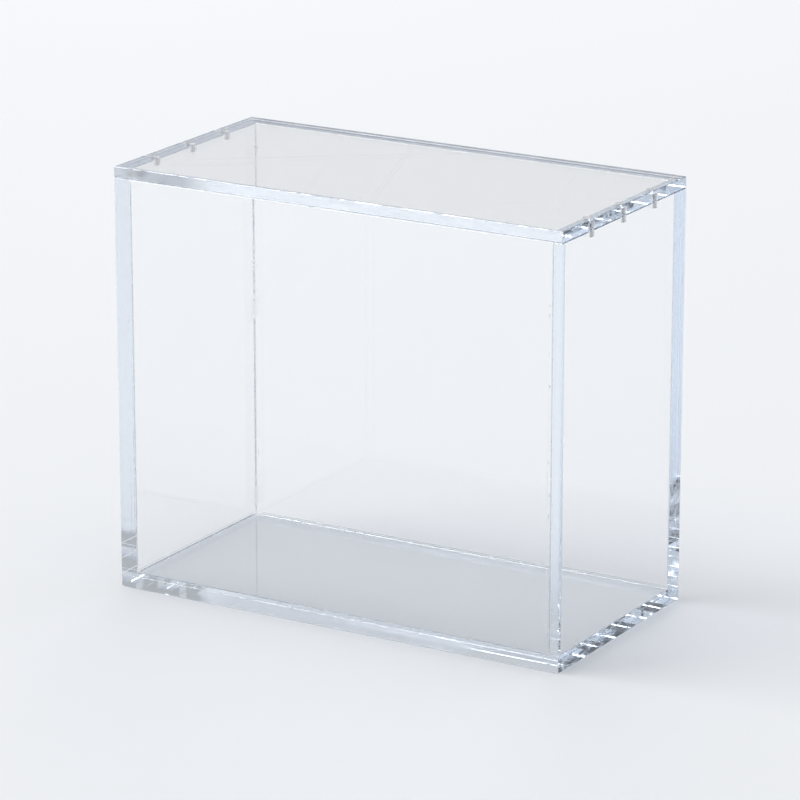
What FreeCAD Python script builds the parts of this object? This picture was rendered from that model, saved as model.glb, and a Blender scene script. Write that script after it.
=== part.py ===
import FreeCAD, Part
import Sketcher
import math
import os

# Clear acrylic display case with a flat lid that lifts off its magnets.
#
# The case stands on the XY plane with its centre over the origin. X runs along its width,
# the front faces -Y and Z points up. All lengths are millimetres.
#
# The end walls run the full depth and the front and back walls stand between them. All four
# are cemented to each other and to the base. The lid lies on six pairs of round magnets, let
# into the top edges of the end walls and into the underside of the lid.

# Driving sizes: name, value, what it sets.
SIZES = (
    ("inner_width", 193, "clear width between the end walls"),
    ("inner_depth", 91, "clear depth between the front and back walls"),
    ("inner_height", 167, "clear height between the base and the lid"),
    ("wall_thickness", 5.5, "sheet of the four walls"),
    ("base_thickness", 5.5, "sheet of the base"),
    ("lid_thickness", 4.5, "sheet of the lid"),
    ("edge_break", 0.3, "chamfer on the polished outer edges"),
    ("seam_thickness", 0.1, "film of cement between two panels"),
    ("seam_fillet", 0.5, "cement drawn out along an inside corner"),
    ("magnet_diameter", 4, "magnet across"),
    ("magnet_length", 3, "magnet end to end"),
    ("magnet_break", 0.2, "chamfer on the magnet ends"),
    ("magnet_clearance", 0.05, "gap round a magnet in its pocket"),
    ("magnet_standout", 0.1, "wall magnet above the wall, which carries the lid"),
    ("magnet_pitch", 26, "magnet to magnet along an end wall"),
)

# Sizes that follow from the driving ones, as expressions on the sheet.
CASE_WIDTH = "(sizes.inner_width + 2 * sizes.wall_thickness)"
CASE_DEPTH = "(sizes.inner_depth + 2 * sizes.wall_thickness)"
WALL_FOOT = "(sizes.base_thickness + sizes.seam_thickness)"
WALL_HEIGHT = "(sizes.inner_height - sizes.seam_thickness - sizes.magnet_standout)"
LID_FOOT = "(sizes.base_thickness + sizes.inner_height)"
FRONT_WIDTH = "(sizes.inner_width - 2 * sizes.seam_thickness)"
END_WALL_X = "((sizes.inner_width + sizes.wall_thickness) / 2)"
LONG_WALL_Y = "((sizes.inner_depth + sizes.wall_thickness) / 2)"
POCKET_DIAMETER = "(sizes.magnet_diameter + 2 * sizes.magnet_clearance)"
WALL_POCKET_DEPTH = "(sizes.magnet_length - sizes.magnet_standout)"
SEAM_WIDTH = "(sizes.wall_thickness - sizes.edge_break)"
FILLET_REACH = "(sizes.seam_thickness + sizes.seam_fillet)"

# Where the magnets stand along each end wall, from front to back.
MAGNET_PLACES = ("front", "middle", "back")
FIRST_MAGNET_Y = "(%d * sizes.magnet_pitch / 2)" % (1 - len(MAGNET_PLACES))
SIDES = (("left", -1), ("right", 1))

SAME_PLACE = 1e-6
SAME_VOLUME_SHARE = 1e-4

doc = FreeCAD.newDocument("display_case")
sheet = doc.addObject("Spreadsheet::Sheet", "sizes")
for row, (name, value, meaning) in enumerate(SIZES, 1):
    sheet.set("A%d" % row, name)
    sheet.set("B%d" % row, str(value))
    sheet.set("C%d" % row, meaning)
    sheet.setAlias("B%d" % row, name)
doc.recompute()

sub_parts = []


def new_body(label, across=None, inward=None):
    """A sub-part whose own X and Y axes point along two directions of the case."""
    body = doc.addObject("PartDesign::Body", label)
    body.Label = label
    if across is not None:
        along = across.cross(inward)
        body.Placement = FreeCAD.Placement(FreeCAD.Vector(), FreeCAD.Rotation(across, inward, along, "XYZ"))
    sub_parts.append(body)
    return body


def place(body, x="0", y="0", z="0"):
    """Bind the place of a sub-part in the case to the sheet."""
    for axis, expression in (("x", x), ("y", y), ("z", z)):
        body.setExpression("Placement.Base.%s" % axis, expression)


def new_sketch(body, name, role, height="0"):
    """A sketch on one of the body's own origin planes, lifted off it by a bound height."""
    sketch = body.newObject("Sketcher::SketchObject", name)
    plane = next(feature for feature in body.Origin.OriginFeatures if feature.Role == role)
    sketch.AttachmentSupport = [(plane, "")]
    sketch.MapMode = "FlatFace"
    sketch.setExpression("AttachmentOffset.Base.z", height)
    return sketch


def bind(sketch, name, constraint, expression):
    """Add a dimension to a sketch and bind it to the sheet."""
    index = sketch.addConstraint(constraint)
    sketch.renameConstraint(index, name)
    sketch.setExpression("Constraints.%s" % name, expression)


def size_now(expression):
    """The present value of an expression on the sheet."""
    return float(sheet.evalExpression(expression.replace("sizes.", "")))


def draw_rectangle(sketch, width, height, left_share, bottom_share):
    """A rectangle whose shares of width and height lie left of and below the sketch's origin."""
    wide = size_now(width)
    high = size_now(height)
    left = -left_share * wide
    bottom = -bottom_share * high
    corners = (
        FreeCAD.Vector(left, bottom, 0),
        FreeCAD.Vector(left + wide, bottom, 0),
        FreeCAD.Vector(left + wide, bottom + high, 0),
        FreeCAD.Vector(left, bottom + high, 0),
    )
    for start, end in zip(corners, corners[1:] + corners[:1]):
        sketch.addGeometry(Part.LineSegment(start, end))
    for line in range(4):
        sketch.addConstraint(Sketcher.Constraint("Coincident", line, 2, (line + 1) % 4, 1))
        sketch.addConstraint(Sketcher.Constraint("Horizontal" if line % 2 == 0 else "Vertical", line))
    bind(sketch, "width", Sketcher.Constraint("DistanceX", 0, 1, 0, 2, wide), width)
    bind(sketch, "height", Sketcher.Constraint("DistanceY", 1, 1, 1, 2, high), height)
    bind(sketch, "left", Sketcher.Constraint("DistanceX", 0, 1, -1, 1, -left), "%s * %s" % (left_share, width))
    bind(sketch, "bottom", Sketcher.Constraint("DistanceY", 0, 1, -1, 1, -bottom), "%s * %s" % (bottom_share, height))


def draw_circle(sketch, diameter, x="0", y="0"):
    """A circle with a bound diameter and centre."""
    centre = FreeCAD.Vector(size_now(x), size_now(y), 0)
    circle = sketch.addGeometry(Part.Circle(centre, FreeCAD.Vector(0, 0, 1), size_now(diameter) / 2))
    tag = "_%d" % circle
    bind(sketch, "diameter" + tag, Sketcher.Constraint("Diameter", circle, size_now(diameter)), diameter)
    bind(sketch, "across" + tag, Sketcher.Constraint("DistanceX", -1, 1, circle, 3, centre.x), x)
    bind(sketch, "along" + tag, Sketcher.Constraint("DistanceY", -1, 1, circle, 3, centre.y), y)


def pad(body, name, sketch, length, symmetric=False):
    """Raise a sketch to a bound length, to one side or to both sides of its plane."""
    feature = body.newObject("PartDesign::Pad", name)
    feature.Profile = sketch
    feature.SideType = "Symmetric" if symmetric else "One side"
    feature.setExpression("Length", length)
    doc.recompute()
    return feature


def break_edges(body, feature, size, wanted):
    """Chamfer the edges of a feature that pass a test on the edge and the whole shape's box."""
    box = feature.Shape.BoundBox
    names = ["Edge%d" % number for number, edge in enumerate(feature.Shape.Edges, 1) if wanted(edge.BoundBox, box)]
    chamfer = body.newObject("PartDesign::Chamfer", "broken_edges")
    chamfer.Base = (feature, names)
    chamfer.setExpression("Size", size)
    doc.recompute()
    return chamfer


def same(first, second):
    return abs(first - second) < SAME_PLACE


def magnet_pockets(body, columns, height, depth, upward):
    """Rows of blind round pockets, one row for each column across, sunk from a height."""
    before = body.Shape.Volume
    sketch = new_sketch(body, "pocket_outline", "XY_Plane", height)
    for x in columns:
        draw_circle(sketch, POCKET_DIAMETER, x, FIRST_MAGNET_Y)
    pocket = body.newObject("PartDesign::Pocket", "first_pockets")
    pocket.Profile = sketch
    pocket.setExpression("Length", depth)
    pocket.Reversed = upward
    doc.recompute()
    row = body.newObject("PartDesign::LinearPattern", "pocket_rows")
    row.Originals = [pocket]
    row.Direction = (sketch, ["V_Axis"])
    row.Mode = "Spacing"
    row.Occurrences = len(MAGNET_PLACES)
    row.setExpression("Offset", "sizes.magnet_pitch")
    body.Tip = row
    doc.recompute()
    count = len(columns) * len(MAGNET_PLACES)
    wanted = count * math.pi * (size_now(POCKET_DIAMETER) / 2) ** 2 * size_now(depth)
    if abs(before - body.Shape.Volume - wanted) > SAME_VOLUME_SHARE * wanted:
        raise RuntimeError("%s: its pockets took %.4f, not %.4f" % (body.Label, before - body.Shape.Volume, wanted))


def base_panel():
    """Bottom plate of the full footprint, with every edge broken."""
    body = new_body("base_panel")
    outline = new_sketch(body, "outline", "XY_Plane")
    draw_rectangle(outline, CASE_WIDTH, CASE_DEPTH, 0.5, 0.5)
    plate = pad(body, "plate", outline, "sizes.base_thickness")
    break_edges(body, plate, "sizes.edge_break", lambda edge, box: True)


def end_wall(side, sign):
    """End wall of the full depth, with magnet pockets in its top edge."""
    body = new_body(side + "_panel")
    outline = new_sketch(body, "outline", "YZ_Plane")
    draw_rectangle(outline, CASE_DEPTH, WALL_HEIGHT, 0.5, 0)
    plate = pad(body, "plate", outline, "sizes.wall_thickness", symmetric=True)

    def is_open(edge, box):
        on_rim = same(edge.ZMin, box.ZMax)
        on_outer_face = same(edge.XMin, edge.XMax) and edge.XMin * sign > 0
        upright = not same(edge.ZMin, edge.ZMax)
        return on_rim or (on_outer_face and upright)

    break_edges(body, plate, "sizes.edge_break", is_open)
    magnet_pockets(body, ("0",), WALL_HEIGHT, WALL_POCKET_DEPTH, upward=False)
    place(body, x="%d * %s" % (sign, END_WALL_X), z=WALL_FOOT)


def long_wall(label, sign):
    """Front or back wall, which stands between the end walls."""
    body = new_body(label)
    outline = new_sketch(body, "outline", "XZ_Plane")
    draw_rectangle(outline, FRONT_WIDTH, WALL_HEIGHT, 0.5, 0)
    plate = pad(body, "plate", outline, "sizes.wall_thickness", symmetric=True)

    def is_rim(edge, box):
        return same(edge.ZMin, box.ZMax) and same(edge.YMin, edge.YMax)

    break_edges(body, plate, "sizes.edge_break", is_rim)
    place(body, y="%d * %s" % (sign, LONG_WALL_Y), z=WALL_FOOT)


def lid_panel():
    """Top plate of the full footprint, with magnet pockets in its underside."""
    body = new_body("lid_panel")
    outline = new_sketch(body, "outline", "XY_Plane")
    draw_rectangle(outline, CASE_WIDTH, CASE_DEPTH, 0.5, 0.5)
    plate = pad(body, "plate", outline, "sizes.lid_thickness")
    break_edges(body, plate, "sizes.edge_break", lambda edge, box: True)
    columns = ["%d * %s" % (sign, END_WALL_X) for side, sign in SIDES]
    magnet_pockets(body, columns, "0", "sizes.magnet_length", upward=True)
    place(body, z=LID_FOOT)


def magnet(label, x, y, z):
    """Plated round magnet, standing on its end, with both ends chamfered."""
    body = new_body(label)
    outline = new_sketch(body, "outline", "XY_Plane")
    draw_circle(outline, "sizes.magnet_diameter")
    slug = pad(body, "slug", outline, "sizes.magnet_length")
    break_edges(body, slug, "sizes.magnet_break", lambda edge, box: same(edge.ZMin, edge.ZMax))
    place(body, x, y, z)


def magnet_pairs():
    """Each wall magnet stands on its pocket's floor and meets the lid magnet above it."""
    wall_magnet_z = "%s + %s - %s" % (WALL_FOOT, WALL_HEIGHT, WALL_POCKET_DEPTH)
    for side, sign in SIDES:
        x = "%d * %s" % (sign, END_WALL_X)
        for number, where in enumerate(MAGNET_PLACES):
            y = "%s + %d * sizes.magnet_pitch" % (FIRST_MAGNET_Y, number)
            magnet("wall_magnet_%s_%s" % (side, where), x, y, wall_magnet_z)
            magnet("lid_magnet_%s_%s" % (side, where), x, y, LID_FOOT)


def draw_fillet(sketch):
    """The hollow fillet of cement in an inside corner, from one panel's face round to the other's."""
    reach = size_now(FILLET_REACH)
    corner = FreeCAD.Vector(0, 0, 0)
    foot = FreeCAD.Vector(reach, 0, 0)
    head = FreeCAD.Vector(0, reach, 0)
    hollow = Part.Circle(FreeCAD.Vector(reach, reach, 0), FreeCAD.Vector(0, 0, 1), reach)
    low = sketch.addGeometry(Part.LineSegment(corner, foot))
    curve = sketch.addGeometry(Part.ArcOfCircle(hollow, math.pi, 1.5 * math.pi))
    high = sketch.addGeometry(Part.LineSegment(head, corner))
    sketch.addConstraint(Sketcher.Constraint("Coincident", low, 1, -1, 1))
    sketch.addConstraint(Sketcher.Constraint("Coincident", high, 2, low, 1))
    sketch.addConstraint(Sketcher.Constraint("Horizontal", low))
    sketch.addConstraint(Sketcher.Constraint("Vertical", high))
    sketch.addConstraint(Sketcher.Constraint("Tangent", low, 2, curve, 2))
    sketch.addConstraint(Sketcher.Constraint("Tangent", curve, 1, high, 1))
    bind(sketch, "reach", Sketcher.Constraint("DistanceX", low, 1, low, 2, reach), FILLET_REACH)


def seam(label, across, inward, corner, film_length, fillet_start, fillet_length):
    """Film of cement between two panels, with a fillet along the inside corner.

    across points through the film, inward into the case, and corner is the middle of the
    line where the film meets the inside of the case.
    """
    body = new_body(label, across, inward)
    film_outline = new_sketch(body, "film_outline", "XY_Plane")
    draw_rectangle(film_outline, "sizes.seam_thickness", SEAM_WIDTH, 0, 1)
    pad(body, "film", film_outline, film_length)
    fillet_outline = new_sketch(body, "fillet_outline", "XY_Plane", fillet_start)
    draw_fillet(fillet_outline)
    pad(body, "fillet", fillet_outline, fillet_length)
    along = across.cross(inward)
    backs = ["%s - %d * %s / 2" % (middle, round(step), film_length) for middle, step in zip(corner, along)]
    place(body, *backs)


def corner_seams():
    """Upright seams between the end walls and the front and back walls."""
    film_length = "(%s - sizes.edge_break)" % WALL_HEIGHT
    fillet_length = "(%s - sizes.seam_fillet)" % film_length
    middle_z = "(%s + %s / 2)" % (WALL_FOOT, film_length)
    for end, y_sign in (("front", -1), ("back", 1)):
        for side, x_sign in SIDES:
            across = FreeCAD.Vector(-x_sign, 0, 0)
            inward = FreeCAD.Vector(0, -y_sign, 0)
            runs_upward = across.cross(inward).z > 0
            corner = ("%d * sizes.inner_width / 2" % x_sign, "%d * sizes.inner_depth / 2" % y_sign, middle_z)
            fillet_start = "sizes.seam_fillet" if runs_upward else "0"
            seam("seam_%s_%s" % (end, side), across, inward, corner, film_length, fillet_start, fillet_length)


def base_seams():
    """Level seams between the base and the four walls, with fillets that stop short of each other."""
    up = FreeCAD.Vector(0, 0, 1)
    long_films = ("sizes.inner_width", "sizes.inner_width")
    end_films = ("(%s - 2 * sizes.edge_break)" % CASE_DEPTH, "sizes.inner_depth")
    walls = (
        ("front", FreeCAD.Vector(0, 1, 0), long_films),
        ("back", FreeCAD.Vector(0, -1, 0), long_films),
        ("left", FreeCAD.Vector(1, 0, 0), end_films),
        ("right", FreeCAD.Vector(-1, 0, 0), end_films),
    )
    for wall, inward, (film_length, clear_length) in walls:
        fillet_length = "(%s - 2 * %s)" % (clear_length, FILLET_REACH)
        fillet_start = "((%s - %s) / 2)" % (film_length, fillet_length)
        corner = (
            "%d * sizes.inner_width / 2" % -inward.x,
            "%d * sizes.inner_depth / 2" % -inward.y,
            "sizes.base_thickness",
        )
        seam("seam_base_" + wall, up, inward, corner, film_length, fillet_start, fillet_length)


base_panel()
for side, sign in SIDES:
    end_wall(side, sign)
long_wall("front_panel", -1)
long_wall("back_panel", 1)
lid_panel()
magnet_pairs()
corner_seams()
base_seams()
doc.recompute()

for thing in doc.Objects:
    if "Invalid" in thing.State or "Error" in thing.State:
        raise RuntimeError("%s failed: %s" % (thing.Label, thing.State))
for body in sub_parts:
    if body.Shape.isNull() or not body.Shape.isValid() or len(body.Shape.Solids) != 1:
        raise RuntimeError("%s is not one sound solid" % body.Label)

os.makedirs("parts", exist_ok=True)
for body in sub_parts:
    body.Shape.exportStep("parts/%s.step" % body.Label)
    box = body.Shape.BoundBox
    print("%-26s %9.2f mm3  x %7.2f %7.2f  y %7.2f %7.2f  z %7.2f %7.2f" % (
        body.Label, body.Shape.Volume, box.XMin, box.XMax, box.YMin, box.YMax, box.ZMin, box.ZMax))
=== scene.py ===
import math
from typing import NamedTuple

import bmesh
import bpy
from bpy.props import FloatProperty, FloatVectorProperty, PointerProperty
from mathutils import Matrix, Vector, noise


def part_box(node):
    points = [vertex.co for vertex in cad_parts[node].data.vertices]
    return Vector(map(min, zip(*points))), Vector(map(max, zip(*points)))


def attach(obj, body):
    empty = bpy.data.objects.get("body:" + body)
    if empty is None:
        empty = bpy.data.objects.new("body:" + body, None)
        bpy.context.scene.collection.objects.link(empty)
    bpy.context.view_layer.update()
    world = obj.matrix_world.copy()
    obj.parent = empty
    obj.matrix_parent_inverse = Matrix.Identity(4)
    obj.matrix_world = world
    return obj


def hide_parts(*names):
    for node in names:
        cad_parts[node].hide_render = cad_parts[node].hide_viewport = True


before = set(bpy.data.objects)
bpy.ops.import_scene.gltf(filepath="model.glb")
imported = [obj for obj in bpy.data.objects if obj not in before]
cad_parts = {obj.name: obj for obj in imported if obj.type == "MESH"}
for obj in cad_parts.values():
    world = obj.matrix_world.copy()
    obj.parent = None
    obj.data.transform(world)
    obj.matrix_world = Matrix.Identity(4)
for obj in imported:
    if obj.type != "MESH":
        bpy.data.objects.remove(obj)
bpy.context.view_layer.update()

bl_info = {
    "name": "Acrylic display case",
    "version": (1, 0, 0),
    "blender": (4, 5, 0),
    "location": "View3D > Sidebar > Display case",
    "description": "Finishes the panels, magnets and cement seams of a clear acrylic case and lights it",
    "category": "Object",
}

# Panels by the axis across their thickness, which tells a polished face from a cut edge.
PANEL_SETS = {
    "acrylic_base": ("Z", ("base_panel",)),
    "acrylic_lid": ("Z", ("lid_panel",)),
    "acrylic_end_walls": ("X", ("left_panel", "right_panel")),
    "acrylic_long_walls": ("Y", ("front_panel", "back_panel")),
}

X, Y, Z = range(3)
AXES = (Vector((1, 0, 0)), Vector((0, 1, 0)), Vector((0, 0, 1)))


class AcrylicSettings(bpy.types.PropertyGroup):
    """Body and surface of the cast acrylic sheet"""

    refraction: FloatProperty(
        name="Refractive index",
        description="How strongly the sheet bends light",
        default=1.49, min=1.0, max=2.0,
    )
    clear_colour: FloatVectorProperty(
        name="Clear colour",
        description="Colour of light that has passed through one polished face",
        subtype="COLOR", size=3, min=0.0, max=1.0, default=(1.0, 1.0, 1.0),
    )
    body_tint: FloatVectorProperty(
        name="Body tint",
        description="Colour that a long way through the sheet gives to light",
        subtype="COLOR", size=3, min=0.0, max=1.0, default=(0.72, 0.85, 1.0),
    )
    tint_density: FloatProperty(
        name="Tint density",
        description="Strength of the body tint for each metre of sheet",
        default=3.6, min=0.0,
    )
    shadow_pass: FloatVectorProperty(
        name="Light let through",
        description="Share of lamp light that one face lets through where the light falls on it squarely",
        subtype="COLOR", size=3, min=0.0, max=1.0, default=(0.938, 0.946, 0.96),
    )
    scratch_roughness: FloatProperty(
        name="Scratch roughness",
        description="Roughness of a hairline scratch on the faces",
        subtype="FACTOR", default=0.10, min=0.0, max=1.0,
    )
    scratch_pitch: FloatProperty(
        name="Scratch pitch",
        description="Typical distance between hairline scratches",
        unit="LENGTH", default=0.006, min=0.0001,
    )
    lid_satin: FloatProperty(
        name="Lid satin",
        description="Roughness of the lid's front cut edge, seen from outside",
        subtype="FACTOR", default=0.34, min=0.0, max=1.0,
    )
    base_satin: FloatProperty(
        name="Base satin",
        description="Roughness of the base's front cut edge between its clear ends, seen from outside",
        subtype="FACTOR", default=0.25, min=0.0, max=1.0,
    )
    clear_end: FloatProperty(
        name="Clear end",
        description="How far from its ends the base's front cut edge is polished clear",
        unit="LENGTH", default=0.044, min=0.0,
    )
    satin_fade: FloatProperty(
        name="Satin fade",
        description="Distance over which the satin sets in",
        unit="LENGTH", default=0.010, min=0.0001,
    )
    saw_roughness: FloatProperty(
        name="Saw mark roughness",
        description="Roughness that the saw marks left under the polish add to the cut edges",
        subtype="FACTOR", default=0.02, min=0.0, max=1.0,
    )
    saw_pitch: FloatProperty(
        name="Saw mark pitch",
        description="Distance between saw marks along a cut edge",
        unit="LENGTH", default=0.0012, min=0.0001,
    )
    edge_depth: FloatProperty(
        name="Edge ripple",
        description="Height of the ripple that polishing leaves on the cut edges",
        unit="LENGTH", default=0.0000005, min=0.0, precision=7,
    )
    joint_margin: FloatProperty(
        name="Joint margin",
        description="How near to the middle of a cemented joint a face counts as wetted by the cement",
        unit="LENGTH", default=0.00008, min=0.0, precision=6,
    )


class MagnetSettings(bpy.types.PropertyGroup):
    """Nickel plate on the magnets"""

    plate_colour: FloatVectorProperty(
        name="Plate colour",
        description="Colour of the nickel plate",
        subtype="COLOR", size=3, min=0.0, max=1.0, default=(0.58, 0.58, 0.585),
    )
    plate_roughness: FloatProperty(
        name="Plate roughness",
        description="Roughness of the tumbled nickel plate",
        subtype="FACTOR", default=0.16, min=0.0, max=1.0,
    )
    scuff_roughness: FloatProperty(
        name="Scuff roughness",
        description="Roughness that scuffs add to the plate",
        subtype="FACTOR", default=0.25, min=0.0, max=1.0,
    )
    scuff_pitch: FloatProperty(
        name="Scuff pitch",
        description="Typical distance between scuffs",
        unit="LENGTH", default=0.0006, min=0.0001,
    )
    scuff_depth: FloatProperty(
        name="Scuff depth",
        description="Depth of the scuffs in the plate",
        unit="LENGTH", default=0.000002, min=0.0, precision=7,
    )
    rim_radius: FloatProperty(
        name="Rim radius",
        description="Radius of the tumbled rims",
        unit="LENGTH", default=0.0003, min=0.0, precision=5,
    )
    end_gap: FloatProperty(
        name="End gap",
        description="Air left between a magnet's end and the floor of its pocket",
        unit="LENGTH", default=0.00002, min=0.0, precision=6,
    )


class CementSettings(bpy.types.PropertyGroup):
    """Cured solvent cement in the joints"""

    bead_colour: FloatVectorProperty(
        name="Bead colour",
        description="Colour of light that has passed through a face of the cement",
        subtype="COLOR", size=3, min=0.0, max=1.0, default=(0.72, 0.76, 0.79),
    )
    clearance: FloatProperty(
        name="Clearance",
        description="Distance kept between the cement and the panels beside it",
        unit="LENGTH", default=0.000015, min=0.0, precision=6,
    )
    ragged_margin: FloatProperty(
        name="Ragged margin",
        description="How far the film draws back from the outer edge at most",
        unit="LENGTH", default=0.0006, min=0.0,
    )
    ragged_pitch: FloatProperty(
        name="Ragged pitch",
        description="Length of one wave of the ragged margin",
        unit="LENGTH", default=0.04, min=0.0001,
    )
    fillet_wander: FloatProperty(
        name="Fillet wander",
        description="Share by which the inside fillet shrinks in places",
        subtype="FACTOR", default=0.08, min=0.0, max=0.9,
    )
    station_pitch: FloatProperty(
        name="Station pitch",
        description="Distance between the cross-sections of a seam",
        unit="LENGTH", default=0.001, min=0.0001,
    )
    refraction: FloatProperty(
        name="Refractive index",
        description="How strongly the cured cement bends light",
        default=1.46, min=1.0, max=2.0,
    )
    clear_roughness: FloatProperty(
        name="Clear roughness",
        description="Roughness where the cement cured clear",
        subtype="FACTOR", default=0.06, min=0.0, max=1.0,
    )
    milky_roughness: FloatProperty(
        name="Milky roughness",
        description="Roughness that the milky patches add",
        subtype="FACTOR", default=0.3, min=0.0, max=1.0,
    )
    patch_pitch: FloatProperty(
        name="Patch pitch",
        description="Typical distance between milky patches",
        unit="LENGTH", default=0.004, min=0.0001,
    )
    film_reach: FloatProperty(
        name="Film reach",
        description="How near to the middle of a joint the cement counts as its film",
        unit="LENGTH", default=0.0001, min=0.0, precision=6,
    )
    speck_pitch: FloatProperty(
        name="Speck pitch",
        description="Typical distance between milky specks in the film",
        unit="LENGTH", default=0.0018, min=0.0001,
    )
    speck_share: FloatProperty(
        name="Speck threshold",
        description="How sparse the milky specks in the film are",
        subtype="FACTOR", default=0.96, min=0.0, max=0.99,
    )


class StageSettings(bpy.types.PropertyGroup):
    """Floor, light and camera"""

    floor_colour: FloatVectorProperty(
        name="Floor colour",
        description="Colour of the pale floor",
        subtype="COLOR", size=3, min=0.0, max=1.0, default=(0.83, 0.845, 0.865),
    )
    floor_radius: FloatProperty(
        name="Floor radius",
        description="Radius of the round floor",
        unit="LENGTH", default=6.0, min=1.0,
    )
    floor_drop: FloatProperty(
        name="Floor drop",
        description="Thin air gap between the floor and the base",
        unit="LENGTH", default=0.0002, min=0.0,
    )
    light_level: FloatProperty(
        name="Light level",
        description="Strength of the surrounding studio light",
        default=0.69, min=0.0,
    )
    key_power: FloatProperty(
        name="Key lamp power",
        description="Power of the soft lamp at the left, in front and above",
        unit="POWER", default=455.0, min=0.0,
    )
    back_power: FloatProperty(
        name="Back lamp power",
        description="Power of the soft lamp that lights the floor behind the case",
        unit="POWER", default=7.2, min=0.0,
    )
    rim_power: FloatProperty(
        name="Rim lamp power",
        description="Power of the tall soft lamp behind the case at the right",
        unit="POWER", default=1.2, min=0.0,
    )
    camera_location: FloatVectorProperty(
        name="Camera location",
        description="Where the camera stands",
        subtype="TRANSLATION", unit="LENGTH", size=3, default=(0.8594, -1.4476, 0.5888),
    )
    camera_azimuth: FloatProperty(
        name="Camera azimuth",
        description="Turn of the camera about the upright axis",
        unit="ROTATION", default=math.radians(30.68),
    )
    camera_elevation: FloatProperty(
        name="Camera elevation",
        description="Angle by which the camera looks down",
        unit="ROTATION", default=math.radians(16.75),
    )
    camera_lens: FloatProperty(
        name="Camera lens",
        description="Focal length in millimetres",
        unit="CAMERA", default=196.2, min=1.0,
    )


# Helpers for node trees.

# Sockets of a Mix node by the kind of value: first input, second input and output.
MIX_SOCKETS = {"FLOAT": (2, 3, 0), "RGBA": (6, 7, 2)}
BLACK = (0.0, 0.0, 0.0, 1.0)
WHITE = (1.0, 1.0, 1.0, 1.0)


def opaque(colour):
    """A colour with full alpha."""
    return (colour[0], colour[1], colour[2], 1.0)


def shaded(colour, share):
    """A colour at a share of its brightness, with full alpha."""
    return opaque([share * part for part in colour])


def feed(tree, value, socket):
    """Link an output socket to an input, or set the input to a number or colour."""
    if isinstance(value, bpy.types.NodeSocket):
        tree.links.new(value, socket)
    else:
        socket.default_value = value


def feed_named(tree, node, values):
    """Feed a node's inputs by name, with underscores for spaces."""
    for name, value in values.items():
        feed(tree, value, node.inputs[name.replace("_", " ")])


def new_node(tree, kind, **values):
    """Add a node and feed its inputs by name."""
    node = tree.nodes.new(kind)
    feed_named(tree, node, values)
    return node


def math_node(tree, operation, *values):
    """Add a Math node. Each value is a number or an output socket."""
    node = tree.nodes.new("ShaderNodeMath")
    node.operation = operation
    for place, value in enumerate(values):
        feed(tree, value, node.inputs[place])
    return node.outputs[0]


def dot_product(tree, vector, direction):
    """How far a vector reaches along a direction."""
    node = tree.nodes.new("ShaderNodeVectorMath")
    node.operation = "DOT_PRODUCT"
    tree.links.new(vector, node.inputs[0])
    node.inputs[1].default_value = direction
    return node.outputs["Value"]


def rise(tree, value, low, high):
    """Smooth rise from 0 where a value is low to 1 where it is high."""
    node = new_node(tree, "ShaderNodeMapRange", Value=value, From_Min=low, From_Max=high)
    node.interpolation_type = "SMOOTHSTEP"
    return node.outputs["Result"]


def blend(tree, kind, factor, first, second):
    """Mix two numbers or two colours by a factor."""
    node = tree.nodes.new("ShaderNodeMix")
    node.data_type = kind
    first_socket, second_socket, result = MIX_SOCKETS[kind]
    feed(tree, factor, node.inputs[0])
    feed(tree, first, node.inputs[first_socket])
    feed(tree, second, node.inputs[second_socket])
    return node.outputs[result]


def new_group(name, inputs, outputs):
    """Start a shader node group with a Vector input, number inputs and number outputs."""
    tree = bpy.data.node_groups.new(name, "ShaderNodeTree")
    tree.interface.new_socket("Vector", in_out="INPUT", socket_type="NodeSocketVector")
    for in_out, socket_names in (("INPUT", inputs), ("OUTPUT", outputs)):
        for socket_name in socket_names:
            tree.interface.new_socket(socket_name, in_out=in_out, socket_type="NodeSocketFloat")
    entry = tree.nodes.new("NodeGroupInput")
    leave = tree.nodes.new("NodeGroupOutput")
    return tree, entry.outputs, leave.inputs


def place_group(tree, build, **values):
    """Add a shared effect, which its function builds once, and return its outputs."""
    name = build.__name__
    node = tree.nodes.new("ShaderNodeGroup")
    node.node_tree = bpy.data.node_groups.get(name) or build(name)
    feed_named(tree, node, values)
    return node.outputs


# Effects that several finishes share. Each function makes a node group of its own name.

# Directions across and along each set of scratches.
SCRATCH_WAYS = (
    ((0.83, 0.31, -0.47), (0.35, 0.36, 0.86)),
    ((-0.42, 0.55, 0.72), (0.78, -0.33, 0.53)),
)
# A scratch's width to its length, and the noise between which a scratch breaks off and runs on.
SCRATCH_SLENDER_SHARE = 0.06
SCRATCH_BREAKS = (0.56, 0.66)
# The noise between which a smear sets in.
SMEAR_LIMITS = (0.42, 0.72)
# The wave's height between which a saw mark sets in, and its share of the ripple.
SAW_LIMITS = (0.6, 1.0)
SAW_RIPPLE_SHARE = 0.15


def in_pitches(tree, entry):
    """The place on a surface, counted in pitches of an effect."""
    node = tree.nodes.new("ShaderNodeVectorMath")
    node.operation = "SCALE"
    tree.links.new(entry["Vector"], node.inputs[0])
    tree.links.new(math_node(tree, "DIVIDE", 1.0, entry["Pitch"]), node.inputs["Scale"])
    return node.outputs[0]


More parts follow.
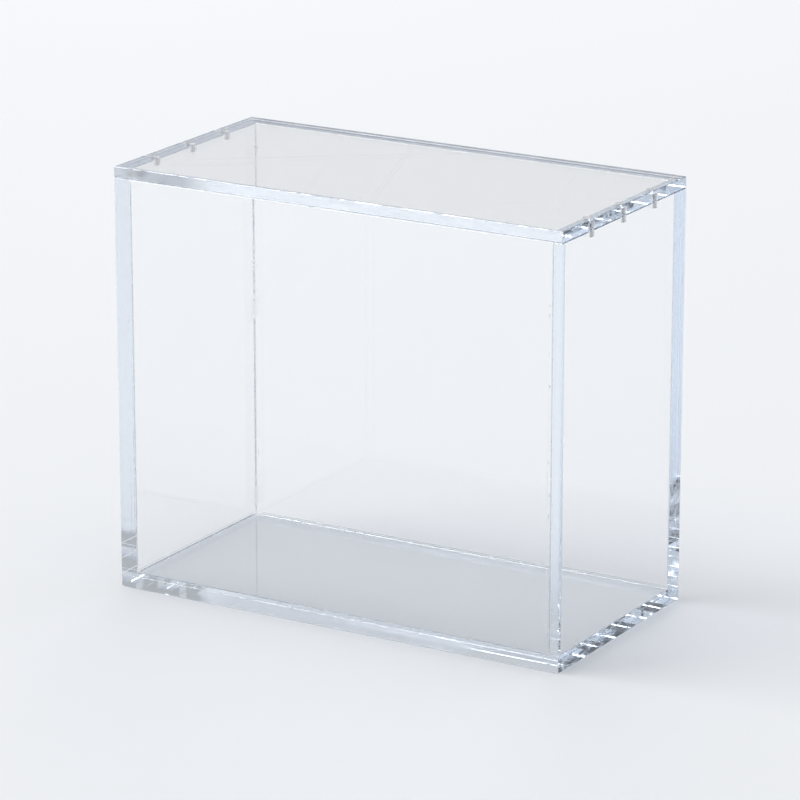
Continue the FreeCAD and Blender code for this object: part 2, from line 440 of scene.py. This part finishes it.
def hairline_scratches(name):
    """Fine straight scratches in two directions, each broken into short lengths."""
    tree, entry, leave = new_group(name, ("Pitch", "Width Share"), ("Mask",))
    sets = []
    for ways in SCRATCH_WAYS:
        reaches = [dot_product(tree, entry["Vector"], way) for way in ways]
        across, along = [math_node(tree, "DIVIDE", reach, entry["Pitch"]) for reach in reaches]
        drawn_out = math_node(tree, "MULTIPLY", along, SCRATCH_SLENDER_SHARE)
        spot = new_node(tree, "ShaderNodeCombineXYZ", X=across, Y=drawn_out).outputs[0]
        cloud = new_node(tree, "ShaderNodeTexNoise", Vector=spot, Scale=1.0, Detail=1.0)
        offset = math_node(tree, "ABSOLUTE", math_node(tree, "SUBTRACT", cloud.outputs["Fac"], 0.5))
        line = math_node(tree, "LESS_THAN", offset, entry["Width Share"])
        breaks = new_node(tree, "ShaderNodeTexNoise", Vector=spot, Scale=0.35, Detail=0.0)
        kept = rise(tree, breaks.outputs["Fac"], *SCRATCH_BREAKS)
        sets.append(math_node(tree, "MULTIPLY", line, kept))
    tree.links.new(math_node(tree, "MAXIMUM", *sets), leave["Mask"])
    return tree


def wiped_smears(name):
    """Broad soft patches, as a wiping cloth leaves them."""
    tree, entry, leave = new_group(name, ("Pitch",), ("Mask",))
    spot = in_pitches(tree, entry)
    cloud = new_node(tree, "ShaderNodeTexNoise", Vector=spot, Scale=1.0, Detail=3.0, Distortion=0.6)
    tree.links.new(rise(tree, cloud.outputs["Fac"], *SMEAR_LIMITS), leave["Mask"])
    return tree


def saw_marks(name):
    """Even ripple of a saw blade along a cut edge, softened by polishing."""
    tree, entry, leave = new_group(name, ("Pitch",), ("Mask", "Height"))
    spot = in_pitches(tree, entry)
    wave = new_node(
        tree, "ShaderNodeTexWave", Vector=spot, Scale=0.3, Distortion=2.0, Detail=2.0, Detail_Scale=0.4,
    )
    wave.bands_direction = "DIAGONAL"
    swell = new_node(tree, "ShaderNodeTexNoise", Vector=spot, Scale=0.12, Detail=2.0)
    tree.links.new(rise(tree, wave.outputs["Fac"], *SAW_LIMITS), leave["Mask"])
    height = math_node(tree, "MULTIPLY_ADD", wave.outputs["Fac"], SAW_RIPPLE_SHARE, swell.outputs["Fac"])
    tree.links.new(height, leave["Height"])
    return tree


def cemented_joints(name):
    """Faces that the cement wets, where two panels have become one clear body."""
    sizes = ("Base Joint", "Side Joint", "Inner Width", "Inner Depth", "Margin")
    tree, entry, leave = new_group(name, sizes, ("Mask",))
    spot = new_node(tree, "ShaderNodeSeparateXYZ", Vector=entry["Vector"]).outputs
    width = math_node(tree, "ABSOLUTE", spot["X"])
    depth = math_node(tree, "ABSOLUTE", spot["Y"])
    past_width = math_node(tree, "GREATER_THAN", width, entry["Inner Width"])
    past_depth = math_node(tree, "GREATER_THAN", depth, entry["Inner Depth"])
    in_wall = math_node(tree, "MAXIMUM", past_width, past_depth)
    at_base = math_node(tree, "COMPARE", spot["Z"], entry["Base Joint"], entry["Margin"])
    on_base = math_node(tree, "MULTIPLY", at_base, in_wall)
    foot = math_node(tree, "SUBTRACT", entry["Base Joint"], entry["Margin"])
    above = math_node(tree, "GREATER_THAN", spot["Z"], foot)
    at_side = math_node(tree, "COMPARE", width, entry["Side Joint"], entry["Margin"])
    on_corner = math_node(tree, "MULTIPLY", at_side, past_depth)
    on_side = math_node(tree, "MULTIPLY", on_corner, above)
    tree.links.new(math_node(tree, "MAXIMUM", on_base, on_side), leave["Mask"])
    return tree


def place_joints(tree, spot, margin):
    """Add the cemented joints of this case to a material and return where they are."""
    base_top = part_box("base_panel")[1].z
    wall_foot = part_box("right_panel")[0].z
    wall_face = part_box("right_panel")[0].x
    long_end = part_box("back_panel")[1].x
    joints = place_group(
        tree, cemented_joints, Vector=spot,
        Base_Joint=(base_top + wall_foot) / 2, Side_Joint=(wall_face + long_end) / 2,
        Inner_Width=wall_face, Inner_Depth=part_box("back_panel")[0].y, Margin=margin,
    )
    return joints["Mask"]


# Finishes.

# A surface whose normal reaches further than this along an axis faces that way.
FACING_SHARE = 0.95
# How sharply a clear face loses light at a slant.
SLANT_BLEND = 0.5
SLANT_POWER = 5.0
# Width of a scratch as a share of its pitch, on acrylic and on plate.
SCRATCH_WIDTH_SHARE = 0.02
SCUFF_WIDTH_SHARE = 0.05
# Dull clouds on the plate: pitch in metres, strength beside a scuff, and brightness beside clean plate.
CLOUD_PITCH = 0.0015
CLOUD_SHARE = 0.35
DULL_SHARE = 0.82
# Floor: brightness of the mottle beside the plain colour, and its gloss.
MOTTLE_SHARE = 0.985
FLOOR_ROUGHNESS = 0.55
FLOOR_SPECULAR = 0.3


def new_material(name):
    """Start a node material and return it with its tree and its Principled shader."""
    material = bpy.data.materials.new(name)
    material.use_nodes = True
    tree = material.node_tree
    return material, tree, tree.nodes["Principled BSDF"]


def object_coordinates(tree):
    """The object's own coordinates in metres."""
    return tree.nodes.new("ShaderNodeTexCoord").outputs["Object"]


def make_clear(shader, colour, refraction):
    """Turn a shader into a clear body."""
    shader.inputs["Base Color"].default_value = opaque(colour)
    shader.inputs["IOR"].default_value = refraction
    shader.inputs["Transmission Weight"].default_value = 1.0


def let_light_through(tree, shader, colour):
    """Let lamp light and bounced light pass a clear piece, less of it at a slant.

    That gives the pale shadow of clear plastic.
    """
    path = tree.nodes.new("ShaderNodeLightPath")
    slant = new_node(tree, "ShaderNodeLayerWeight", Blend=SLANT_BLEND)
    lost = math_node(tree, "POWER", slant.outputs["Facing"], SLANT_POWER)
    passed = blend(tree, "RGBA", lost, opaque(colour), BLACK)
    clear = new_node(tree, "ShaderNodeBsdfTransparent", Color=passed)
    surface = shader.outputs[0]
    for ray in ("Is Shadow Ray", "Is Diffuse Ray"):
        mix = tree.nodes.new("ShaderNodeMixShader")
        tree.links.new(path.outputs[ray], mix.inputs[0])
        tree.links.new(surface, mix.inputs[1])
        tree.links.new(clear.outputs[0], mix.inputs[2])
        surface = mix.outputs[0]
    tree.links.new(surface, tree.nodes["Material Output"].inputs["Surface"])


def satin_front(tree, spot, surface, normal, clear_end, fade):
    """Where the front cut edge, seen from outside, is satin."""
    half_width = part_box("base_panel")[1].x
    along = new_node(tree, "ShaderNodeSeparateXYZ", Vector=spot).outputs["X"]
    from_end = math_node(tree, "SUBTRACT", half_width, math_node(tree, "ABSOLUTE", along))
    between_ends = rise(tree, from_end, clear_end - fade, clear_end)
    front_edge = math_node(tree, "LESS_THAN", normal["Y"], -FACING_SHARE)
    from_outside = math_node(tree, "SUBTRACT", front_edge, surface["Backfacing"])
    return math_node(tree, "MULTIPLY", math_node(tree, "MAXIMUM", from_outside, 0.0), between_ends)


def acrylic_finish(name, thin_axis, panels, acrylic):
    """Clear cast acrylic with polished faces and cut edges."""
    material, tree, shader = new_material(name)
    make_clear(shader, acrylic.clear_colour, acrylic.refraction)
    spot = object_coordinates(tree)
    surface = tree.nodes.new("ShaderNodeNewGeometry").outputs
    normal = new_node(tree, "ShaderNodeSeparateXYZ", Vector=surface["Normal"]).outputs
    on_face = math_node(tree, "ABSOLUTE", normal[thin_axis])
    edge = math_node(tree, "LESS_THAN", on_face, FACING_SHARE)
    scratches = place_group(
        tree, hairline_scratches, Vector=spot, Pitch=acrylic.scratch_pitch, Width_Share=SCRATCH_WIDTH_SHARE,
    )
    saw = place_group(tree, saw_marks, Vector=spot, Pitch=acrylic.saw_pitch)
    face_rough = math_node(tree, "MULTIPLY", scratches["Mask"], acrylic.scratch_roughness)
    edge_rough = math_node(tree, "MULTIPLY", saw["Mask"], acrylic.saw_roughness)
    satins = {"lid_panel": (acrylic.lid_satin, 0.0), "base_panel": (acrylic.base_satin, acrylic.clear_end)}
    for satin_roughness, clear_end in [satins[panel] for panel in panels if panel in satins]:
        satin = satin_front(tree, spot, surface, normal, clear_end, acrylic.satin_fade)
        edge_rough = math_node(tree, "MULTIPLY_ADD", satin, satin_roughness, edge_rough)
    tree.links.new(blend(tree, "FLOAT", edge, face_rough, edge_rough), shader.inputs["Roughness"])
    ripple = math_node(tree, "MULTIPLY", saw["Height"], edge)
    bump = new_node(tree, "ShaderNodeBump", Distance=acrylic.edge_depth, Height=ripple)
    tree.links.new(bump.outputs[0], shader.inputs["Normal"])
    if "lid_panel" not in panels:
        joints = place_joints(tree, spot, acrylic.joint_margin)
        tree.links.new(math_node(tree, "SUBTRACT", 1.0, joints), shader.inputs["Alpha"])
    let_light_through(tree, shader, acrylic.shadow_pass)
    tint = opaque(acrylic.body_tint)
    body = new_node(tree, "ShaderNodeVolumeAbsorption", Color=tint, Density=acrylic.tint_density)
    tree.links.new(body.outputs[0], tree.nodes["Material Output"].inputs["Volume"])
    return material


def nickel_finish(magnets):
    """Bright nickel plate, tumbled and lightly scuffed."""
    material, tree, shader = new_material("nickel_plate")
    shader.inputs["Metallic"].default_value = 1.0
    spot = object_coordinates(tree)
    scuffs = place_group(
        tree, hairline_scratches, Vector=spot, Pitch=magnets.scuff_pitch, Width_Share=SCUFF_WIDTH_SHARE,
    )
    clouds = place_group(tree, wiped_smears, Vector=spot, Pitch=CLOUD_PITCH)
    dull = math_node(tree, "MULTIPLY", clouds["Mask"], CLOUD_SHARE)
    worn = math_node(tree, "MAXIMUM", scuffs["Mask"], dull)
    rough = math_node(tree, "MULTIPLY_ADD", worn, magnets.scuff_roughness, magnets.plate_roughness)
    tree.links.new(rough, shader.inputs["Roughness"])
    clean = opaque(magnets.plate_colour)
    plate = blend(tree, "RGBA", worn, clean, shaded(magnets.plate_colour, DULL_SHARE))
    tree.links.new(plate, shader.inputs["Base Color"])
    level = math_node(tree, "SUBTRACT", 1.0, worn)
    bump = new_node(tree, "ShaderNodeBump", Distance=magnets.scuff_depth, Height=level)
    tree.links.new(bump.outputs[0], shader.inputs["Normal"])
    return material


def cement_finish(cement, acrylic):
    """Cured cement, lost where it cured clear and seen at milky specks and the inside fillet."""
    material, tree, shader = new_material("clear_cement")
    make_clear(shader, cement.bead_colour, cement.refraction)
    spot = object_coordinates(tree)
    patches = place_group(tree, wiped_smears, Vector=spot, Pitch=cement.patch_pitch)
    rough = math_node(tree, "MULTIPLY_ADD", patches["Mask"], cement.milky_roughness, cement.clear_roughness)
    tree.links.new(rough, shader.inputs["Roughness"])
    film = place_joints(tree, spot, cement.film_reach)
    specks = place_group(tree, wiped_smears, Vector=spot, Pitch=cement.speck_pitch)
    milky = rise(tree, specks["Mask"], cement.speck_share, 1.0)
    tree.links.new(blend(tree, "FLOAT", film, 1.0, milky), shader.inputs["Alpha"])
    let_light_through(tree, shader, acrylic.shadow_pass)
    return material


def floor_finish(stage):
    """Matt pale floor with a faint mottle."""
    material, tree, shader = new_material("pale_floor")
    spot = object_coordinates(tree)
    mottle = new_node(tree, "ShaderNodeTexNoise", Vector=spot, Scale=3.0, Detail=4.0).outputs["Fac"]
    plain = opaque(stage.floor_colour)
    tone = blend(tree, "RGBA", mottle, plain, shaded(stage.floor_colour, MOTTLE_SHARE))
    tree.links.new(tone, shader.inputs["Base Color"])
    shader.inputs["Roughness"].default_value = FLOOR_ROUGHNESS
    shader.inputs["Specular IOR Level"].default_value = FLOOR_SPECULAR
    return material


# Pieces.

# Faces that meet at more than this angle keep a crisp edge.
CRISP_ANGLE = math.radians(30)
QUARTER_TURN = math.radians(90)


def only_material(piece, material):
    """Give a piece one material."""
    piece.data.materials.clear()
    piece.data.materials.append(material)


def skin_rings(work, rings):
    """Close a row of rings into a skin with a cap at each end."""
    count = len(rings[0])
    for first, second in zip(rings, rings[1:]):
        for corner in range(count):
            after = (corner + 1) % count
            work.faces.new((first[corner], first[after], second[after], second[corner]))
    work.faces.new(reversed(rings[0]))
    work.faces.new(rings[-1])


def finished_mesh(work, name):
    """Turn a working mesh into a finished one with smooth shading and crisp edges."""
    bmesh.ops.recalc_face_normals(work, faces=work.faces)
    mesh = bpy.data.meshes.new(name)
    work.to_mesh(mesh)
    work.free()
    mesh.shade_smooth()
    mesh.set_sharp_from_angle(angle=CRISP_ANGLE)
    return mesh


def seat_piece(name, mesh, material, node, body):
    """Put a new piece in the place of a node, on the node's body."""
    piece = bpy.data.objects.new(name, mesh)
    bpy.context.scene.collection.objects.link(piece)
    only_material(piece, material)
    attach(piece, body)
    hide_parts(node)


# Magnets.

MAGNET_SIDES = 48
RIM_STEPS = 5


def magnet_profile(radius, half_length, rim):
    """Half outline of a magnet with round rims, from its lower end to its upper end."""
    profile = []
    for step in range(RIM_STEPS + 1):
        turn = QUARTER_TURN * step / RIM_STEPS
        profile.append((radius - rim + rim * math.sin(turn), rim - half_length - rim * math.cos(turn)))
    return profile + [(across, -height) for across, height in reversed(profile)]


def magnet_mesh(node, magnets):
    """Turn a magnet where its node stands."""
    low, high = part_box(node)
    centre = (low + high) / 2
    radius = (high.x - low.x) / 2
    half_length = (high.z - low.z) / 2 - magnets.end_gap
    work = bmesh.new()
    rings = []
    for across, height in magnet_profile(radius, half_length, magnets.rim_radius):
        ring = []
        for side in range(MAGNET_SIDES):
            turn = 2 * math.pi * side / MAGNET_SIDES
            offset = Vector((across * math.cos(turn), across * math.sin(turn), height))
            ring.append(work.verts.new(centre + offset))
        rings.append(ring)
    skin_rings(work, rings)
    return finished_mesh(work, node)


# Cement seams.

FILLET_STEPS = 6
# Length over which a fillet runs out at its ends.
FILLET_FADE = 0.003
# How strongly the noise draws the margin back, and how far off the noise for the fillet is read.
RAGGED_GAIN = 1.6
WANDER_OFFSET = Vector((7, 3, 5))


class Joint(NamedTuple):
    """Where a seam runs: the start of its inner edge, its three directions and its sizes"""

    origin: Vector
    across: Vector
    inward: Vector
    along: Vector
    length: float
    thickness: float
    width: float
    reach: float
    fillet_from: float
    fillet_to: float


def seam_section(gap, thickness, width, reach):
    """Cross-section of a seam: the thin film, then the hollow fillet in the inside corner.

    The first number runs across the joint and the second inwards from the joint's inner edge.
    """
    hollow = reach - gap
    section = [(gap, -width), (thickness - gap, -width), (thickness - gap, gap)]
    for step in range(FILLET_STEPS + 1):
        turn = 3 * QUARTER_TURN - QUARTER_TURN * step / FILLET_STEPS
        section.append((reach + hollow * math.cos(turn), reach + hollow * math.sin(turn)))
    return section


def seam_mesh(name, joint, cement):
    """Loft a seam along its joint, with a ragged outer margin and a wandering fillet."""
    stations = max(2, round(joint.length / cement.station_pitch))
    work = bmesh.new()
    rings = []
    for station in range(stations + 1):
        run = joint.length * station / stations
        spot = joint.origin + joint.along * run
        waves = spot / cement.ragged_pitch
        drawn = cement.ragged_margin * min(1.0, abs(noise.noise(waves)) * RAGGED_GAIN)
        shrink = cement.fillet_wander * (0.5 + 0.5 * noise.noise(waves + WANDER_OFFSET))
        inside = min(run - joint.fillet_from, joint.fillet_to - run) / FILLET_FADE
        fade = min(1.0, max(0.0, inside))
        reach = joint.thickness + (joint.reach * (1.0 - shrink) - joint.thickness) * fade
        section = seam_section(cement.clearance, joint.thickness, joint.width - drawn, reach)
        rings.append([work.verts.new(spot + joint.across * x + joint.inward * y) for x, y in section])
    skin_rings(work, rings)
    return finished_mesh(work, name)


def near_face(node, axis, sign):
    """Where a node's face that looks along an axis, or against it, lies on that axis."""
    low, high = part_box(node)
    return high[axis] if sign > 0 else low[axis]


def upright_seam(end, side, cement):
    """Seam between an end wall and a long wall."""
    node = "seam_%s_%s" % (end, side)
    across_sign = 1 if side == "left" else -1
    inward_sign = 1 if end == "front" else -1
    low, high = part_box(node)
    wall_x = near_face(side + "_panel", X, across_sign)
    end_x = near_face(end + "_panel", X, -across_sign)
    inner_y = near_face(end + "_panel", Y, inward_sign)
    outer_y = near_face(node, Y, -inward_sign)
    reach = high.x - low.x
    length = high.z - low.z
    joint = Joint(
        origin=Vector((wall_x, inner_y, low.z)), across=AXES[X] * across_sign,
        inward=AXES[Y] * inward_sign, along=AXES[Z], length=length, thickness=abs(end_x - wall_x),
        width=abs(inner_y - outer_y), reach=reach, fillet_from=reach, fillet_to=length,
    )
    return node, seam_mesh(node, joint, cement)


def base_seam(wall, cement):
    """Seam between the base and one wall."""
    node = "seam_base_" + wall
    axis, run_axis = (X, Y) if wall in ("left", "right") else (Y, X)
    inward_sign = 1 if wall in ("left", "front") else -1
    low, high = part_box(node)
    base_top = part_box("base_panel")[1].z
    wall_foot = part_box(wall + "_panel")[0].z
    inner = near_face(wall + "_panel", axis, inward_sign)
    outer = near_face(node, axis, -inward_sign)
    origin = Vector((0.0, 0.0, base_top))
    origin[axis] = inner
    origin[run_axis] = low[run_axis]
    reach = high.z - low.z
    before, beyond = ("front", "back") if axis == X else ("left", "right")
    clear_from = near_face(before + "_panel", run_axis, 1)
    clear_to = near_face(beyond + "_panel", run_axis, -1)
    joint = Joint(
        origin=origin, across=AXES[Z], inward=AXES[axis] * inward_sign, along=AXES[run_axis],
        length=high[run_axis] - low[run_axis], thickness=wall_foot - base_top, width=abs(inner - outer),
        reach=reach, fillet_from=clear_from + reach - origin[run_axis],
        fillet_to=clear_to - reach - origin[run_axis],
    )
    return node, seam_mesh(node, joint, cement)


# Stage.

# Greys of the studio by the sine of the height above the horizon.
PALE_TONES = ((0.0, 1.0), (0.29, 0.90), (0.76, 1.0))
WALL_TONES = ((0.0, 0.80), (0.07, 0.72), (0.14, 0.66), (0.50, 0.66), (0.64, 0.72), (0.78, 1.0))
DARK_TONES = ((0.0, 0.80), (0.07, 0.50), (0.14, 0.06), (0.50, 0.06), (0.64, 0.50), (0.78, 1.0))
# Cool cast of the greys above the horizon.
COOL_CAST = (1.0, 1.01, 1.03)
# Cosines of the angle from a panel's middle at which the panel ends and is whole.
PANEL_EDGE = (0.5, 0.85)

# Soft lamps: name, the setting that holds the power, place, size and the point aimed at.
CASE_MIDDLE = (0.0, 0.0, 0.08)
FLOOR_BEHIND = (-0.6, 1.2, 0.0)
LAMPS = (
    ("key_lamp", "key_power", (-5.2, -2.8, 6.0), (5.2, 5.2), CASE_MIDDLE),
    ("rim_lamp", "rim_power", (1.1, 1.2, 1.0), (0.4, 0.9), CASE_MIDDLE),
    ("back_lamp", "back_power", (-1.0, 1.9, 1.6), (1.0, 0.6), FLOOR_BEHIND),
)

FLOOR_SIDES = 128

# The sheet guides light along itself by many inner reflections.
BOUNCES = {
    "max_bounces": 128,
    "glossy_bounces": 96,
    "transmission_bounces": 64,
    "transparent_max_bounces": 64,
}


def tone_ramp(tree, height, tones):
    """Grey that changes with height above the horizon."""
    ramp = tree.nodes.new("ShaderNodeValToRGB")
    tree.links.new(height, ramp.inputs[0])
    stops = ramp.color_ramp.elements
    stops[0].color = shaded(WHITE, tones[0][1])
    stops[1].color = WHITE
    for place, tone in tones[1:]:
        stops.new(place).color = shaded(COOL_CAST, tone)
    return ramp.outputs[0]


def studio_world(stage):
    """Soft light from grey walls, a pale ceiling, a pale panel behind the case and a dark one opposite."""
    world = bpy.data.worlds.new("studio")
    world.use_nodes = True
    tree = world.node_tree
    direction = tree.nodes.new("ShaderNodeTexCoord").outputs["Generated"]
    height = new_node(tree, "ShaderNodeSeparateXYZ", Vector=direction).outputs["Z"]
    tones = tone_ramp(tree, height, WALL_TONES)
    panels = ((stage.camera_azimuth, PALE_TONES), (math.pi - stage.camera_azimuth, DARK_TONES))
    for azimuth, panel_tones in panels:
        middle = (-math.sin(azimuth), math.cos(azimuth), 0.0)
        on_panel = rise(tree, dot_product(tree, direction, middle), *PANEL_EDGE)
        tones = blend(tree, "RGBA", on_panel, tones, tone_ramp(tree, height, panel_tones))
    background = tree.nodes["Background"]
    tree.links.new(tones, background.inputs["Color"])
    background.inputs["Strength"].default_value = stage.light_level
    return world


def soft_lamp(name, power, location, size, target):
    """Rectangular soft lamp aimed at a point."""
    lamp = bpy.data.lights.new(name, "AREA")
    lamp.shape = "RECTANGLE"
    lamp.size, lamp.size_y = size
    lamp.energy = power
    holder = bpy.data.objects.new(name, lamp)
    holder.location = location
    aim = Vector(target) - Vector(location)
    holder.rotation_euler = aim.to_track_quat("-Z", "Y").to_euler()
    bpy.context.scene.collection.objects.link(holder)


def lay_floor(stage):
    """Round floor just under the base."""
    mesh = bpy.data.meshes.new("floor")
    work = bmesh.new()
    bmesh.ops.create_circle(work, cap_ends=True, segments=FLOOR_SIDES, radius=stage.floor_radius)
    work.to_mesh(mesh)
    work.free()
    floor = bpy.data.objects.new("floor", mesh)
    floor.location.z = -stage.floor_drop
    bpy.context.scene.collection.objects.link(floor)
    only_material(floor, floor_finish(stage))


def stand_camera(stage):
    """Camera at the viewing angle of the photograph."""
    data = bpy.data.cameras.new("camera")
    data.lens = stage.camera_lens
    camera = bpy.data.objects.new("camera", data)
    camera.location = stage.camera_location
    camera.rotation_euler = (QUARTER_TURN - stage.camera_elevation, 0.0, stage.camera_azimuth)
    bpy.context.scene.collection.objects.link(camera)
    bpy.context.scene.camera = camera


# Operators.


class DISPLAYCASE_OT_polish_panels(bpy.types.Operator):
    """Give the base, walls and lid clear acrylic with polished faces and cut edges"""

    bl_idname = "display_case.polish_panels"
    bl_label = "Polish panels"

    def execute(self, context):
        for name, (thin_axis, panels) in PANEL_SETS.items():
            material = acrylic_finish(name, thin_axis, panels, context.scene.case_acrylic)
            for panel in panels:
                only_material(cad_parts[panel], material)
        return {"FINISHED"}


class DISPLAYCASE_OT_plate_magnets(bpy.types.Operator):
    """Turn the twelve magnets and give them their nickel plate"""

    bl_idname = "display_case.plate_magnets"
    bl_label = "Plate magnets"

    def execute(self, context):
        magnets = context.scene.case_magnets
        material = nickel_finish(magnets)
        nodes = [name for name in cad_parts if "_magnet_" in name]
        if not nodes:
            raise RuntimeError("the case has no magnets")
        for node in nodes:
            body = "lid" if node.startswith("lid") else "case"
            seat_piece("plated_" + node, magnet_mesh(node, magnets), material, node, body)
        return {"FINISHED"}


class DISPLAYCASE_OT_lay_cement(bpy.types.Operator):
    """Lay the cement seams between the walls and along the base"""

    bl_idname = "display_case.lay_cement"
    bl_label = "Lay cement"

    def execute(self, context):
        cement = context.scene.case_cement
        material = cement_finish(cement, context.scene.case_acrylic)
        seams = [upright_seam(end, side, cement) for end in ("front", "back") for side in ("left", "right")]
        seams += [base_seam(wall, cement) for wall in ("front", "back", "left", "right")]
        for node, mesh in seams:
            seat_piece("cement_" + node, mesh, material, node, "case")
        return {"FINISHED"}


class DISPLAYCASE_OT_set_stage(bpy.types.Operator):
    """Set the floor, the soft light and the camera"""

    bl_idname = "display_case.set_stage"
    bl_label = "Set stage"

    def execute(self, context):
        scene = context.scene
        stage = scene.case_stage
        lay_floor(stage)
        scene.world = studio_world(stage)
        for name, power, location, size, target in LAMPS:
            soft_lamp(name, getattr(stage, power), location, size, target)
        stand_camera(stage)
        scene.view_settings.view_transform = "Standard"
        for name, count in BOUNCES.items():
            setattr(scene.cycles, name, count)
        return {"FINISHED"}


class DISPLAYCASE_PT_sidebar(bpy.types.Panel):
    """Settings and steps of the display case"""

    bl_idname = "DISPLAYCASE_PT_sidebar"
    bl_label = "Display case"
    bl_space_type = "VIEW_3D"
    bl_region_type = "UI"
    bl_category = "Display case"

    def draw(self, context):
        for heading, settings_name, operator in STEPS:
            box = self.layout.box()
            box.label(text=heading)
            settings = getattr(context.scene, settings_name)
            for name in settings.__annotations__:
                box.prop(settings, name)
            box.operator(operator.bl_idname)


SETTINGS = {
    "case_acrylic": AcrylicSettings,
    "case_magnets": MagnetSettings,
    "case_cement": CementSettings,
    "case_stage": StageSettings,
}

STEPS = (
    ("Panels", "case_acrylic", DISPLAYCASE_OT_polish_panels),
    ("Magnets", "case_magnets", DISPLAYCASE_OT_plate_magnets),
    ("Cement", "case_cement", DISPLAYCASE_OT_lay_cement),
    ("Stage", "case_stage", DISPLAYCASE_OT_set_stage),
)


def register():
    """Register the settings, operators and sidebar panel."""
    for name, settings in SETTINGS.items():
        bpy.utils.register_class(settings)
        setattr(bpy.types.Scene, name, PointerProperty(type=settings))
    for heading, settings_name, operator in STEPS:
        bpy.utils.register_class(operator)
    bpy.utils.register_class(DISPLAYCASE_PT_sidebar)


def unregister():
    """Take the sidebar panel, operators and settings away again."""
    bpy.utils.unregister_class(DISPLAYCASE_PT_sidebar)
    for heading, settings_name, operator in reversed(STEPS):
        bpy.utils.unregister_class(operator)
    for name, settings in reversed(SETTINGS.items()):
        delattr(bpy.types.Scene, name)
        bpy.utils.unregister_class(settings)


def main():
    """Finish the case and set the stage."""
    register()
    bpy.ops.display_case.polish_panels()
    bpy.ops.display_case.plate_magnets()
    bpy.ops.display_case.lay_cement()
    bpy.ops.display_case.set_stage()


if __name__ == "__main__":
    main()
